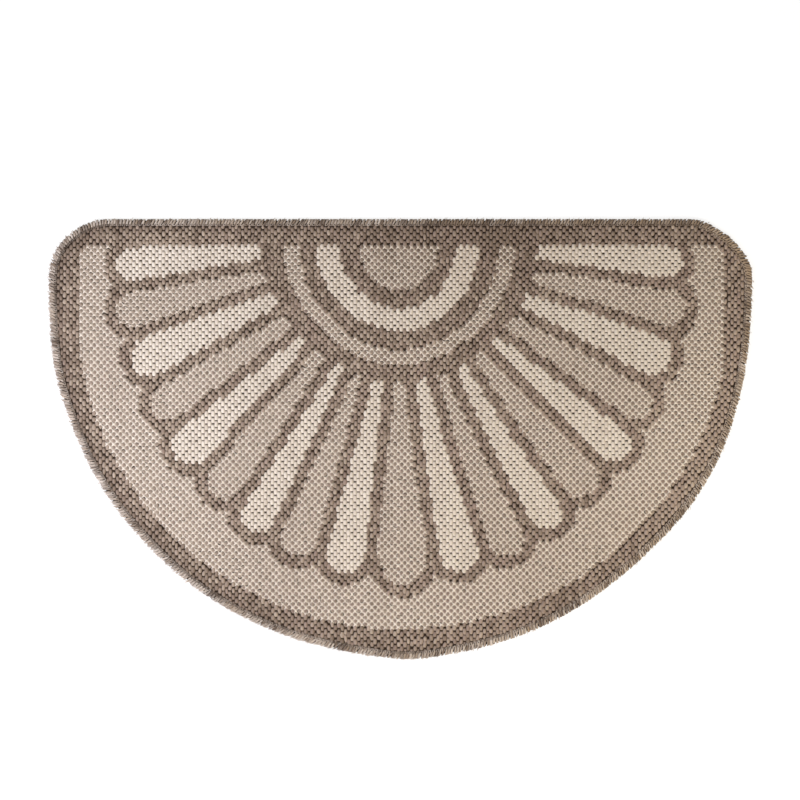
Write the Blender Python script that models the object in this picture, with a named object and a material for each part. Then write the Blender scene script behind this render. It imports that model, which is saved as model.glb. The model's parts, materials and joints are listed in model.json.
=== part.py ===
"""Half-round woven doormat: a flat cloth and the overcast edge that is sewn round it.

Metres, +Z up. The mat lies on z = 0 with its straight side towards +Y and its round side
towards -Y. The origin is under the middle of its width and depth.
"""

import math

import bmesh
import bpy
from mathutils import Vector

# Outline of the finished mat, seen from above
MAT_WIDTH = 0.800
MAT_DEPTH = 0.500
CORNER_RADIUS = 0.068
SIDE_RUN = 0.026
HALF_WIDTH = MAT_WIDTH / 2
HALF_DEPTH = MAT_DEPTH / 2
CORNER_X = HALF_WIDTH - CORNER_RADIUS
CORNER_Y = HALF_DEPTH - CORNER_RADIUS
ROUND_SIDE_Y = CORNER_Y - SIDE_RUN
ROUND_SIDE_DEPTH = ROUND_SIDE_Y + HALF_DEPTH

# How far the hand-guided cut strays outwards from the outline, in millimetres, at even steps
# along the curved rim from the left end of the straight side round to its right end
CUT_STRAYS_MM = (
    0.0, -1.4, -1.4, -1.5, -1.9, -2.3, -1.5, -1.4, -2.3, -3.2, -2.9, -3.3,
    -3.7, -4.6, -4.9, -4.8, -4.7, -5.0, -5.2, -5.1, -4.9, -4.8, -4.2, -2.7,
    -0.4, -0.6, -1.9, -2.4, -2.4, -2.5, -2.6, -2.9, -3.2, -3.1, -2.6, -0.9,
    1.0, 1.9, 2.3, 1.7, 0.6, -0.2, -0.9, -1.0, -0.5, -0.1, -3.7, -4.4, 0.0,
)

# Clearance between the cloth and the thread round it, 0.3 mm at the least where the rim curves
GAP = 0.00036

# Overcast edge: its reach in from the rim, its thickness and the bundles of its thread
EDGE_REACH = 0.0095
EDGE_HEIGHT = 0.0054
EDGE_DIP = 0.0005
RIM_ROUNDING = 0.0024
RIM_NOTCH = 0.0015
RIM_WALL = 0.0034
THREAD_THICKNESS = 0.0009
THREAD_BUNDLES = 220

# Cloth: its thickness, and the rim that the thread presses thin
CLOTH_THICKNESS = 0.0050
CLOTH_SHOULDER = 0.0008
PRESSED_LOW = THREAD_THICKNESS + GAP
PRESSED_HIGH = EDGE_HEIGHT - EDGE_DIP - THREAD_THICKNESS - GAP
PRESSED_REACH = EDGE_REACH + GAP
CLOTH_CUT = RIM_WALL + GAP
CLOTH_STEPS = 220

# The two finishes as they read from a step away
CLOTH_COLOUR = (0.36, 0.30, 0.24, 1.0)
CLOTH_ROUGHNESS = 0.9
EDGE_COLOUR = (0.27, 0.22, 0.18, 1.0)
EDGE_ROUGHNESS = 0.8

# Faces that meet at more than this angle keep a sharp edge
SHARP_DEGREES = 35


def straight_run(start, end):
    """Length of a straight stretch of the rim, and its point and outward normal at 0 to 1."""
    start = Vector(start)
    along = Vector(end) - start
    normal = Vector((along.y, -along.x)).normalized()

    def at(part):
        return start + along * part, normal

    return along.length, at


def curved_run(centre, radii, first_degrees, last_degrees):
    """Length of an elliptical stretch of the rim, and its point and outward normal at 0 to 1."""
    first = math.radians(first_degrees)
    sweep = math.radians(last_degrees) - first

    def at(part):
        turn = first + sweep * part
        point = Vector((centre[0] + radii[0] * math.cos(turn), centre[1] + radii[1] * math.sin(turn)))
        normal = Vector((math.cos(turn) / radii[0], math.sin(turn) / radii[1])).normalized()
        return point, normal

    return sweep * sum(radii) / 2, at


def rim_runs():
    """The closed rim as stretches that follow each other counter-clockwise from above."""
    corner = (CORNER_RADIUS, CORNER_RADIUS)
    return [
        straight_run((CORNER_X, HALF_DEPTH), (-CORNER_X, HALF_DEPTH)),
        curved_run((-CORNER_X, CORNER_Y), corner, 90, 180),
        straight_run((-HALF_WIDTH, CORNER_Y), (-HALF_WIDTH, ROUND_SIDE_Y)),
        curved_run((0, ROUND_SIDE_Y), (HALF_WIDTH, ROUND_SIDE_DEPTH), 180, 360),
        straight_run((HALF_WIDTH, ROUND_SIDE_Y), (HALF_WIDTH, CORNER_Y)),
        curved_run((CORNER_X, CORNER_Y), corner, 0, 90),
    ]


def cut_stray(part):
    """How far outwards the cut strays at a part, 0 to 1, of the curved rim."""
    last = len(CUT_STRAYS_MM) - 1
    index = min(int(part * last), last - 1)
    step = part * last - index
    before, here, there, after = (
        CUT_STRAYS_MM[min(max(index + shift, 0), last)] for shift in (-1, 0, 1, 2)
    )
    slope_here, slope_there = (there - before) / 2, (after - here) / 2
    bend = 3 * (there - here) - 2 * slope_here - slope_there
    twist = slope_here + slope_there - 2 * (there - here)
    return (here + step * (slope_here + step * (bend + step * twist))) / 1000


def rim_stations(count):
    """Evenly spaced points on the uneven rim, each with its outward normal."""
    runs = rim_runs()
    straight_length = runs[0][0]
    total = sum(length for length, _ in runs)
    stations = []
    for index in range(count):
        distance = total * index / count
        curved_part = max(0.0, (distance - straight_length) / (total - straight_length))
        for length, at in runs:
            if distance < length:
                break
            distance -= length
        point, normal = at(distance / length)
        stations.append((point + normal * cut_stray(curved_part), normal))
    return stations


def add_ring(bm, stations, inset, height):
    """The points of a ring inside the rim, one inset and height for each station."""
    verts = []
    for (point, normal), station_inset, station_height in zip(stations, inset, height):
        place = point - normal * station_inset
        verts.append(bm.verts.new((place.x, place.y, station_height)))
    return verts


def bridge(bm, rings, closed):
    """Faces between each ring and the next, and back to the first if the section is closed."""
    followers = rings[1:] + rings[:1] if closed else rings[1:]
    for ring, follower in zip(rings, followers):
        for index, vert in enumerate(ring):
            bm.faces.new((ring[index - 1], vert, follower[index], follower[index - 1]))


def yarn_material(name, colour, roughness):
    """Matt yarn of one colour."""
    material = bpy.data.materials.new(name)
    material.use_nodes = True
    shader = material.node_tree.nodes["Principled BSDF"]
    shader.inputs["Base Color"].default_value = colour
    shader.inputs["Roughness"].default_value = roughness
    shader.inputs["Metallic"].default_value = 0.0
    return material


def add_object(bm, name, material):
    """Turn a closed bmesh into the named object, shaded smooth round its rim."""
    bmesh.ops.recalc_face_normals(bm, faces=bm.faces)
    mesh = bpy.data.meshes.new(name)
    bm.to_mesh(mesh)
    bm.free()
    mesh.shade_smooth()
    mesh.set_sharp_from_angle(angle=math.radians(SHARP_DEGREES))
    mesh.materials.append(material)
    piece = bpy.data.objects.new(name, mesh)
    bpy.context.scene.collection.objects.link(piece)
    return piece


def make_woven_mat():
    """The flat cloth: full thickness inside, pressed thin where the thread wraps over its rim."""
    stations = rim_stations(CLOTH_STEPS)
    section = [
        (PRESSED_REACH, 0.0),
        (PRESSED_REACH, PRESSED_LOW),
        (CLOTH_CUT, PRESSED_LOW),
        (CLOTH_CUT, PRESSED_HIGH),
        (PRESSED_REACH, PRESSED_HIGH),
        (PRESSED_REACH, CLOTH_THICKNESS - CLOTH_SHOULDER),
        (PRESSED_REACH + CLOTH_SHOULDER, CLOTH_THICKNESS),
    ]
    bm = bmesh.new()
    rings = []
    for inset, height in section:
        rings.append(add_ring(bm, stations, [inset] * CLOTH_STEPS, [height] * CLOTH_STEPS))
    bridge(bm, rings, closed=False)
    bm.faces.new(rings[0])
    bm.faces.new(rings[-1])
    return add_object(bm, "woven_mat", yarn_material("woven_yarn", CLOTH_COLOUR, CLOTH_ROUGHNESS))


def make_edge_binding():
    """The overcast thread: a ring wrapped over the rim, ridged where its bundles stand."""
    steps = 2 * THREAD_BUNDLES
    stations = rim_stations(steps)
    hollow = [step % 2 for step in range(steps)]
    notch = [RIM_NOTCH * dip for dip in hollow]
    rounded = [RIM_ROUNDING + RIM_NOTCH / 2 * dip for dip in hollow]
    top = [EDGE_HEIGHT - EDGE_DIP * dip for dip in hollow]

    def level(value):
        return [value] * steps

    section = [
        (level(EDGE_REACH), level(0.0)),
        (rounded, level(0.0)),
        (notch, level(EDGE_HEIGHT / 2)),
        (rounded, top),
        (level(EDGE_REACH), top),
        (level(EDGE_REACH), level(PRESSED_HIGH + GAP)),
        (level(RIM_WALL), level(PRESSED_HIGH + GAP)),
        (level(RIM_WALL), level(THREAD_THICKNESS)),
        (level(EDGE_REACH), level(THREAD_THICKNESS)),
    ]
    bm = bmesh.new()
    rings = [add_ring(bm, stations, inset, height) for inset, height in section]
    bridge(bm, rings, closed=True)
    return add_object(bm, "edge_binding", yarn_material("edge_thread", EDGE_COLOUR, EDGE_ROUGHNESS))


def main():
    """Clear the scene and make the two pieces of the mat."""
    for leftover in list(bpy.data.objects):
        bpy.data.objects.remove(leftover)
    make_woven_mat()
    make_edge_binding()


main()
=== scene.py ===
"""Half-round woven doormat: a sunburst in two yarns and an overcast edge, dressed for a picture.

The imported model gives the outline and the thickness. The cloth is one closed sheet, and each
float of yarn in the weave and each stitch of the edge stands on it as mesh of its own. The
sunburst is a set of rings and petals with sizes in millimetres, and every crossing of the weave
asks it which yarn comes up there.
"""

from __future__ import annotations

import json
import logging
import math
from collections.abc import Callable
from dataclasses import dataclass, field
from enum import IntEnum
from typing import Any

import bmesh
import bpy
import numpy as np
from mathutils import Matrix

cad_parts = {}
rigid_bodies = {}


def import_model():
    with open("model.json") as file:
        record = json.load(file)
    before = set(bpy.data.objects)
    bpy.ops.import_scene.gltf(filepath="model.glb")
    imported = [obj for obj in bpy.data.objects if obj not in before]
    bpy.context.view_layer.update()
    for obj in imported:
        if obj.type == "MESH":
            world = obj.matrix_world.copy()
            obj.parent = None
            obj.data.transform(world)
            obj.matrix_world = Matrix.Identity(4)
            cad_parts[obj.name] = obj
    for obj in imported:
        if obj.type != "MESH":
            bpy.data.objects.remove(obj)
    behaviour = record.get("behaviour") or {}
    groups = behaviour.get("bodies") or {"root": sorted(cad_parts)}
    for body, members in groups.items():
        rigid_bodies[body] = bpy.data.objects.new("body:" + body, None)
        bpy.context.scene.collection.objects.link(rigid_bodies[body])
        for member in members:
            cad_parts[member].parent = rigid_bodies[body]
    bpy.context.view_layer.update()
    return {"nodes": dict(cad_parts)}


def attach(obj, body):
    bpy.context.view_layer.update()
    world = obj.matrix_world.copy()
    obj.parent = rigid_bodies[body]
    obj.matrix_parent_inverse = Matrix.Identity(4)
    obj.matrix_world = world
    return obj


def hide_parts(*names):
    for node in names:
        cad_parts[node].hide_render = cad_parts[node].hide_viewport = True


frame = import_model()
LOG = logging.getLogger("doormat")
BODY = "root"
FLOOR = "studio_floor"
MM_PER_METRE = 1000

# How close two packed heights are when they count as level, and the digits that tell places apart
LEVEL_WITHIN = 1e-5
PLACE_DIGITS = 7

# Least rise of a normal: on the upper side of a float, and on a face that looks straight up or down
UPPER_NORMAL = -0.05
LEVEL_NORMAL = 0.9

# Where points lie on a sphere of radius 1: at a pole, past its middle rings, off its sides
AT_POLE = 0.95
PAST_MIDDLE = 0.4
OFF_SIDE = 0.3

# What noise is on average, how far apart bands are at scale 1, and how much dry yarn shines
NOISE_MEAN = 0.5
BAND_REPEAT = math.tau / 20
DRY_SHINE = 0.2


class Look(IntEnum):
    """What the face of the weave shows at a crossing."""

    TAUPE = 0
    CREAM = 1
    MIXED = 2
    PALE_MIXED = 3


class Number:
    """A number socket of a finish, which Python expressions turn into Math nodes."""

    def __init__(self, tree: FinishTree, socket: bpy.types.NodeSocket) -> None:
        """Wrap a socket of a tree.

        Args:
            tree: The finish that the socket belongs to.
            socket: The output socket that holds the number.
        """
        self.tree = tree
        self.socket = socket

    def _math(self, operation: str, *terms: Number | float) -> Number:
        """Add a Math node.

        Args:
            operation: Blender's name of the operation.
            terms: The numbers that it works on, in order.

        Returns:
            The node's result.
        """
        node = self.tree.add("ShaderNodeMath", {"operation": operation}, dict(enumerate(terms)))
        return Number(self.tree, node.outputs[0])

    def __add__(self, other: Number | float) -> Number:
        """Sum of this and another number."""
        return self._math("ADD", self, other)

    def __sub__(self, other: Number | float) -> Number:
        """This less another number."""
        return self._math("SUBTRACT", self, other)

    def __rsub__(self, other: float) -> Number:
        """A plain number less this one."""
        return self._math("SUBTRACT", other, self)

    def __mul__(self, other: Number | float) -> Number:
        """Product of this and another number."""
        return self._math("MULTIPLY", self, other)

    __radd__ = __add__
    __rmul__ = __mul__

    def clamped(self) -> Number:
        """This number held between 0 and 1."""
        return self._math("MINIMUM", self._math("MAXIMUM", self, 0.0), 1.0)


class FinishTree:
    """The node tree of one finish, with a Principled BSDF at its end."""

    def __init__(self, name: str) -> None:
        """Make an empty material.

        Args:
            name: The material's name.
        """
        self.material = bpy.data.materials.new(name)
        self.material.use_nodes = True
        self.nodes = self.material.node_tree.nodes
        self.links = self.material.node_tree.links
        self.shader = self.nodes["Principled BSDF"]

    def plug(self, socket: bpy.types.NodeSocket, value: Any) -> None:
        """Link a socket, or set it where the value is plain.

        Args:
            socket: The input socket.
            value: A number, the output socket to link, or a plain value.
        """
        if isinstance(value, Number):
            value = value.socket
        if isinstance(value, bpy.types.NodeSocket):
            self.links.new(value, socket)
        else:
            socket.default_value = value

    def add(self, kind: str, settings: dict[str, Any], sockets: dict[Any, Any]) -> bpy.types.Node:
        """Add a node.

        Args:
            kind: The node's type.
            settings: Its properties, set first.
            sockets: Values or links of its inputs, by name or number.

        Returns:
            The node.
        """
        node = self.nodes.new(kind)
        for key, value in settings.items():
            setattr(node, key, value)
        for key, value in sockets.items():
            self.plug(node.inputs[key], value)
        return node

    def mark(self, name: str) -> Number:
        """A number that the mesh carries under that name."""
        node = self.add("ShaderNodeAttribute", {"attribute_name": name}, {})
        return Number(self, node.outputs["Fac"])

    def noise(self, scale: tuple[float, float, float], detail: float) -> Number:
        """Noise on Object coordinates.

        Args:
            scale: Grains to the metre along X, Y and Z.
            detail: Octaves of finer grain.

        Returns:
            The noise, about 0.5 on average.
        """
        place = self.add("ShaderNodeTexCoord", {}, {}).outputs["Object"]
        sized = self.add("ShaderNodeMapping", {}, {"Vector": place, "Scale": scale})
        sockets = {"Vector": sized.outputs["Vector"], "Scale": 1.0, "Detail": detail}
        return Number(self, self.add("ShaderNodeTexNoise", {}, sockets).outputs["Fac"])

    def ribs(self, direction: str, pitch: float) -> Number:
        """Smooth ribs on Object coordinates.

        Args:
            direction: The axis across them, X or Y.
            pitch: The distance from one to the next, in metres.

        Returns:
            The ribs, 0 to 1.
        """
        place = self.add("ShaderNodeTexCoord", {}, {}).outputs["Object"]
        settings = {"wave_type": "BANDS", "bands_direction": direction}
        sockets = {"Vector": place, "Scale": BAND_REPEAT / pitch, "Distortion": 0.4, "Detail": 1.0}
        return Number(self, self.add("ShaderNodeTexWave", settings, sockets).outputs["Fac"])

    def blend(self, first: Any, second: Any, factor: Number | float) -> bpy.types.NodeSocket:
        """A colour between two others.

        Args:
            first: The colour at factor 0.
            second: The colour at factor 1.
            factor: How far it goes to the second.

        Returns:
            The mixed colour's socket.
        """
        node = self.add("ShaderNodeMix", {"data_type": "RGBA"}, {0: factor, 6: first, 7: second})
        return node.outputs[2]

    def finish(self, colour: Any, roughness: Any, height: Number, relief: float) -> bpy.types.Material:
        """Close the tree.

        Args:
            colour: The base colour.
            roughness: The roughness.
            height: The height of the fine relief, 0 to 1.
            relief: The depth of that relief in metres.

        Returns:
            The finished material.
        """
        bump = self.add("ShaderNodeBump", {}, {"Height": height, "Distance": relief, "Strength": 1.0})
        self.plug(self.shader.inputs["Base Color"], colour)
        self.plug(self.shader.inputs["Roughness"], roughness)
        self.plug(self.shader.inputs["Specular IOR Level"], DRY_SHINE)
        self.plug(self.shader.inputs["Normal"], bump.outputs["Normal"])
        return self.material


Colour = tuple[float, float, float, float]


@dataclass(frozen=True)
class YarnFinish:
    """Matt spun yarn, coloured by the tone and hue that its mesh carries, with painted shade where its
    depth mark is high.
    """

    name: str
    pale: Colour
    deep: Colour
    warm: Colour
    # root is the colour of the painted shade, at ends, undersides and gaps
    root: Colour
    mottle: float = 0.5
    painted_shade_share: float = 0.9
    grain: tuple[float, float, float] = (1100.0, 420.0, 1100.0)
    patches: float = 0.30
    patch_scale: tuple[float, float, float] = (22.0, 14.0, 22.0)
    hue_share: float = 0.6
    roughness: float = 0.72
    rough_spread: float = 0.3
    relief: float = 0.00018

    def make(self) -> bpy.types.Material:
        """Build the yarn: fibres along it, a heathered mix of colours and painted shade from the depth
        mark.

        Returns:
            The material.
        """
        tree = FinishTree(self.name)
        fibre = tree.noise(self.grain, detail=3.0)
        patch = tree.noise(self.patch_scale, detail=2.0) - NOISE_MEAN
        share = tree.mark("tone") + (fibre - NOISE_MEAN) * self.mottle + patch * self.patches
        body = tree.blend(self.deep, self.pale, share.clamped())
        hue = (tree.mark("hue") * self.hue_share + patch).clamped()
        warmed = tree.blend(body, self.warm, hue)
        # Painted shade: the dark root colour is mixed in as far as the depth mark says
        shaded = tree.blend(warmed, self.root, tree.mark("depth") * self.painted_shade_share)
        rough = fibre * self.rough_spread + (self.roughness - self.rough_spread * NOISE_MEAN)
        return tree.finish(shaded, rough, fibre, self.relief)


@dataclass(frozen=True)
class GroundFinish:
    """Woven ribs both ways: the near-black ground between the floats, dark as painted shade there, or the
    plain back of the mat.
    """

    name: str
    dark: Colour
    light: Colour
    pitch: tuple[float, float]
    fleck_grain: tuple[float, float, float] = (420.0, 420.0, 420.0)
    weave_share: float = 0.6
    fleck_share: float = 0.8
    darkening: float = 0.2
    roughness: float = 0.6
    rib_roughness: float = 0.3
    fleck_height: float = 0.3
    relief: float = 0.0004

    def make(self) -> bpy.types.Material:
        """Build the ground.

        Returns:
            The material.
        """
        tree = FinishTree(self.name)
        across, along = tree.ribs("X", self.pitch[0]), tree.ribs("Y", self.pitch[1])
        weave = across * along + (1.0 - across) * (1.0 - along)
        fleck = tree.noise(self.fleck_grain, detail=2.0)
        share = (weave * self.weave_share + fleck * self.fleck_share - self.darkening).clamped()
        colour = tree.blend(self.dark, self.light, share)
        rough = self.roughness + weave * self.rib_roughness
        return tree.finish(colour, rough, weave + fleck * self.fleck_height, self.relief)


@dataclass(frozen=True)
class FloorFinish:
    """Plain white studio table, lit a little from inside."""

    name: str = "studio table"
    pale: Colour = (0.32, 0.32, 0.32, 1.0)
    faint: Colour = (0.30, 0.30, 0.30, 1.0)
    glow_colour: Colour = (1.0, 1.0, 1.0, 1.0)
    glow: float = 0.80
    cloud_scale: tuple[float, float, float] = (1.5, 1.5, 1.5)
    roughness: float = 0.9
    relief: float = 0.0001

    def make(self) -> bpy.types.Material:
        """Build the floor.

        Returns:
            The material.
        """
        tree = FinishTree(self.name)
        cloud = tree.noise(self.cloud_scale, detail=1.0)
        tree.plug(tree.shader.inputs["Emission Color"], self.glow_colour)
        tree.plug(tree.shader.inputs["Emission Strength"], self.glow)
        colour = tree.blend(self.pale, self.faint, cloud)
        return tree.finish(colour, self.roughness, cloud, self.relief)


@dataclass(frozen=True)
class Rim:
    """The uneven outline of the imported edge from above: a closed line, counter-clockwise."""

    line: np.ndarray

    @classmethod
    def read(cls, node: bpy.types.Object) -> Rim:
        """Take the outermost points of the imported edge, halfway up its ridges.

        Args:
            node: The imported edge.

        Returns:
            The rim.
        """
        points = np.array([vert.co for vert in node.data.vertices])
        level = np.abs(points[:, 2] - points[:, 2].max() / 2) < LEVEL_WITHIN
        ring = np.unique(points[level, :2].round(PLACE_DIGITS), axis=0)
        ring = ring[np.argsort(np.arctan2(ring[:, 1], ring[:, 0]))]
        step, last_step = np.roll(ring, -1, axis=0) - ring, ring - np.roll(ring, 1, axis=0)
        turn = last_step[:, 0] * step[:, 1] - last_step[:, 1] * step[:, 0]
        return cls(ring[turn > 0])

    @property
    def area(self) -> float:
        """The area inside."""
        after = np.roll(self.line, -1, axis=0)
        return float(np.sum(self.line[:, 0] * after[:, 1] - self.line[:, 1] * after[:, 0]) / 2)

    @property
    def size(self) -> tuple[float, float]:
        """Its width and depth."""
        width, depth = self.line.max(axis=0) - self.line.min(axis=0)
        return float(width), float(depth)

    def insets(self, x: np.ndarray, y: np.ndarray) -> np.ndarray:
        """How far inside the outline points lie.

        Args:
            x: Their X.
            y: Their Y.

        Returns:
            The distances in metres, negative outside.
        """
        nearest = np.full(x.shape, np.inf)
        crossings = np.zeros(x.shape, dtype=int)
        for (start_x, start_y), (end_x, end_y) in zip(self.line, np.roll(self.line, -1, axis=0)):
            run_x, run_y = end_x - start_x, end_y - start_y
            away_x, away_y = x - start_x, y - start_y
            part = np.clip((away_x * run_x + away_y * run_y) / (run_x ** 2 + run_y ** 2), 0.0, 1.0)
            nearest = np.minimum(nearest, np.hypot(away_x - part * run_x, away_y - part * run_y))
            spans = (start_y > y) != (end_y > y)
            crossings += spans & (away_x * run_y * np.sign(run_y) < away_y * run_x * np.sign(run_y))
        return np.where(crossings % 2 == 1, nearest, -nearest)

    def stations(self, count: int, shift: float = 0.5,
                 reach: float = 0.008) -> tuple[np.ndarray, np.ndarray]:
        """Evenly spaced places on the rim, counter-clockwise.

        Args:
            count: How many.
            shift: Where the first one lies, in steps.
            reach: How far to each side the rim's direction is read.

        Returns:
            Their X and Y, and the directions that face out of the mat there.
        """
        closed = np.concatenate([self.line, self.line[:1]])
        run = np.concatenate([[0.0], np.cumsum(np.hypot(*np.diff(closed, axis=0).T))])
        wanted = run[-1] * (np.arange(count) + shift) / count

        def at(distance: np.ndarray) -> np.ndarray:
            """Places on the line that far along it."""
            found = [np.interp(distance % run[-1], run, closed[:, axis]) for axis in (0, 1)]
            return np.stack(found, axis=1)

        along = at(wanted + reach) - at(wanted - reach)
        out = np.stack([along[:, 1], -along[:, 0]], axis=1)
        return at(wanted), out / np.linalg.norm(out, axis=1)[:, None]


@dataclass(frozen=True)
class Ring:
    """A half ring about the heart of the sunburst, as uneven as it was woven, in millimetres.

    At power 2 it is a half ellipse, and below that it is flatter at its shoulders.
    """

    left: float
    right: float
    down: float
    look: Look
    power: float = 1.96


# From the outermost ring in
RINGS = (
    Ring(157.0, 156.0, 154.0, Look.TAUPE, 1.83),
    Ring(131.5, 130.5, 134.6, Look.MIXED, 1.88),
    Ring(114.0, 111.5, 116.5, Look.TAUPE),
    Ring(94.2, 89.5, 94.8, Look.CREAM),
    Ring(68.2, 63.2, 70.5, Look.TAUPE),
    Ring(45.7, 43.6, 50.2, Look.MIXED),
)

# Angles of the petals' edges from straight down, near the rings and near the tips
PETAL_EDGES = (
    (-93.7, -90.3), (-82.3, -81.5), (-72.3, -71.6), (-61.8, -60.8), (-51.0, -51.3),
    (-41.4, -41.5), (-31.3, -32.1), (-22.5, -23.5), (-13.9, -14.6), (-4.9, -5.4),
    (4.5, 6.3), (14.0, 15.4), (22.4, 24.4), (31.5, 32.9), (40.9, 42.7),
    (50.6, 52.2), (61.8, 61.3), (72.4, 72.0), (82.6, 82.0), (93.0, 90.9),
)

# How far each petal's tip lies from the heart, in millimetres
PETAL_TIPS = (
    322.4, 330.1, 330.9, 336.6, 348.6, 352.6, 364.2, 370.8, 375.2, 385.0,
    375.3, 372.7, 363.1, 353.1, 348.9, 340.1, 333.9, 332.6, 321.9,
)


@dataclass(frozen=True)
class Sunburst:
    """Rings and petals about a heart that lies on the lower edge of the straight border."""

    heart_y: float = 0.2183
    inner_reach: float = 0.1704
    outer_reach: float = 0.3409
    straight_part: tuple[float, float] = (0.148, 0.392)
    outline: float = 0.0134
    outline_out: float = 0.0134
    rounding: float = 1.13
    middle_rounding: float = 1.83
    fullness: float = 2.12
    least_half: float = 0.0005
    tip_slant: float = 0.01
    field_top: float = 0.2194
    side_left: float = 0.3630
    side_right: float = 0.3681
    field_left: float = 0.3679
    field_right: float = 0.3756
    corner: float = 0.0145
    bow_y: float = 0.1535
    bow_depth: float = 0.3693
    bow_power: float = 2.00

    def _petal(self, number: np.ndarray, reach: np.ndarray, degrees: np.ndarray,
               grow: float) -> np.ndarray:
        """Which points lie in a petal.

        Args:
            number: The petal that each point is tested with.
            reach: Distances from the heart.
            degrees: Angles from straight down, positive to the right.
            grow: How much wider and longer than the petal to look.

        Returns:
            True for each point inside.
        """
        starts, ends = self._edges(number, reach), self._edges(number + 1, reach)
        middle = len(PETAL_TIPS) // 2
        tips = np.array(PETAL_TIPS) / MM_PER_METRE
        outer = np.radians([edge for _, edge in PETAL_EDGES])
        slopes = np.gradient(tips, (outer[1:] + outer[:-1]) / 2) / tips
        slopes[middle] = 0.0
        turn = np.radians(degrees - (starts + ends) / 2)
        spread = np.tan(np.radians((ends - starts) / 2))
        along, across = reach * np.cos(turn), reach * np.sin(turn)
        end = tips[number] + slopes[number] * self.tip_slant * across
        width_at = np.minimum(along, end) if grow else along
        half = np.maximum(width_at * spread - self.outline / 2 + grow, self.least_half)
        rounding = np.where(number == middle, self.middle_rounding, self.rounding)
        length = rounding * (end * spread - self.outline / 2)
        part = np.maximum(along - end + length, 0.0) / (length + grow)
        return part ** self.fullness + (np.abs(across) / half) ** self.fullness < 1

    def _edges(self, number: np.ndarray, reach: np.ndarray) -> np.ndarray:
        """Angles of the petals' edges.

        Args:
            number: The number of each edge.
            reach: The distances from the heart where they are wanted.

        Returns:
            The angles in degrees.
        """
        table = np.array(PETAL_EDGES)
        inner, outer = table[number, 0], table[number, 1]
        held = np.clip(reach, *self.straight_part)
        return inner + (outer - inner) * (held - self.inner_reach) / (self.outer_reach - self.inner_reach)

    def looks(self, x: np.ndarray, y: np.ndarray) -> np.ndarray:
        """The look of the weave at points of the mat.

        Args:
            x: Their X.
            y: Their Y.

        Returns:
            A Look for each.
        """
        down = self.heart_y - y
        reach = np.hypot(x, down)
        degrees = np.degrees(np.arctan2(x, down))
        passed = [degrees > self._edges(np.full(x.shape, edge), reach) for edge in range(len(PETAL_EDGES))]
        last = len(PETAL_TIPS) - 1
        number = np.clip(np.sum(passed, axis=0) - 1, 0, last)
        look = np.full(x.shape, Look.PALE_MIXED, dtype=int)
        for neighbour in (-1, 0, 1):
            tested = np.clip(number + neighbour, 0, last)
            look[self._petal(tested, reach, degrees, self.outline_out)] = Look.TAUPE
        inside = self._petal(number, reach, degrees, 0.0)
        mixed = (number - last // 2) % 2 == 0
        look[inside] = np.where(mixed, Look.MIXED, Look.CREAM)[inside]
        for ring in RINGS:
            side = np.where(x < 0, ring.left, ring.right) / MM_PER_METRE
            below = down / ring.down * MM_PER_METRE
            look[np.abs(x / side) ** ring.power + np.abs(below) ** ring.power < 1] = ring.look
        look[self._border(x, y)] = Look.TAUPE
        return look

    def _border(self, x: np.ndarray, y: np.ndarray) -> np.ndarray:
        """Which points lie in the plain border round the field.

        Args:
            x: Their X.
            y: Their Y.

        Returns:
            True for each point in it.
        """
        side = np.where(x < 0, self.field_left, self.field_right)
        away = (self.bow_y - y) / self.bow_depth
        bow = np.abs(x / side) ** self.bow_power + np.abs(away) ** self.bow_power
        past_side = np.where(x < 0, -x - self.side_left, x - self.side_right)
        past_corner = np.hypot(np.maximum(past_side, -self.corner) + self.corner,
                               np.maximum(y - self.field_top, -self.corner) + self.corner)
        return (past_corner > self.corner) | ((away > 0) & (bow > 1))


@dataclass
class Form:
    """One modelled float or stitch, read from its mesh so that it can be repeated."""

    points: np.ndarray
    corners: np.ndarray
    counts: np.ndarray
    faces_up: np.ndarray
    # How much painted shade each point gets, 0 to 1
    depth: np.ndarray

    @classmethod
    def take(cls, piece: bpy.types.Object, depth: Callable[[np.ndarray], np.ndarray]) -> Form:
        """Read a modelled object and remove it.

        Args:
            piece: The object.
            depth: Gives how much painted shade each point gets, 0 to 1.

        Returns:
            The form.
        """
        mesh = piece.data
        points = np.empty(len(mesh.vertices) * 3)
        mesh.vertices.foreach_get("co", points)
        corners = np.empty(len(mesh.loops), dtype=np.int32)
        mesh.loops.foreach_get("vertex_index", corners)
        counts = np.empty(len(mesh.polygons), dtype=np.int32)
        mesh.polygons.foreach_get("loop_total", counts)
        normals = np.empty(len(mesh.polygons) * 3)
        mesh.polygons.foreach_get("normal", normals)
        points = points.reshape(-1, 3)
        up = normals.reshape(-1, 3)[:, 2] > UPPER_NORMAL
        form = cls(points, corners, counts, up, depth(points))
        bpy.data.objects.remove(piece)
        bpy.data.meshes.remove(mesh)
        return form

    @property
    def triangles(self) -> int:
        """How many triangles one copy has."""
        return int((self.counts - 2).sum())


@dataclass
class Spots:
    """Where and how copies of a form lie: one entry each."""

    places: np.ndarray
    sizes: np.ndarray
    turns: np.ndarray
    leans: np.ndarray
    tones: np.ndarray
    hues: np.ndarray
    shades: np.ndarray

    def pick(self, chosen: np.ndarray, lift: float = 0.0) -> Spots:
        """The chosen entries alone.

        Args:
            chosen: True for each entry that is kept.
            lift: What is added to their tones.

        Returns:
            The kept entries.
        """
        marks = (self.tones + lift, self.hues, self.shades)
        kept = (self.places, self.sizes, self.turns, self.leans, *marks)
        return Spots(*(values[chosen] for values in kept))

    @property
    def count(self) -> int:
        """How many there are."""
        return len(self.turns)


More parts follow.
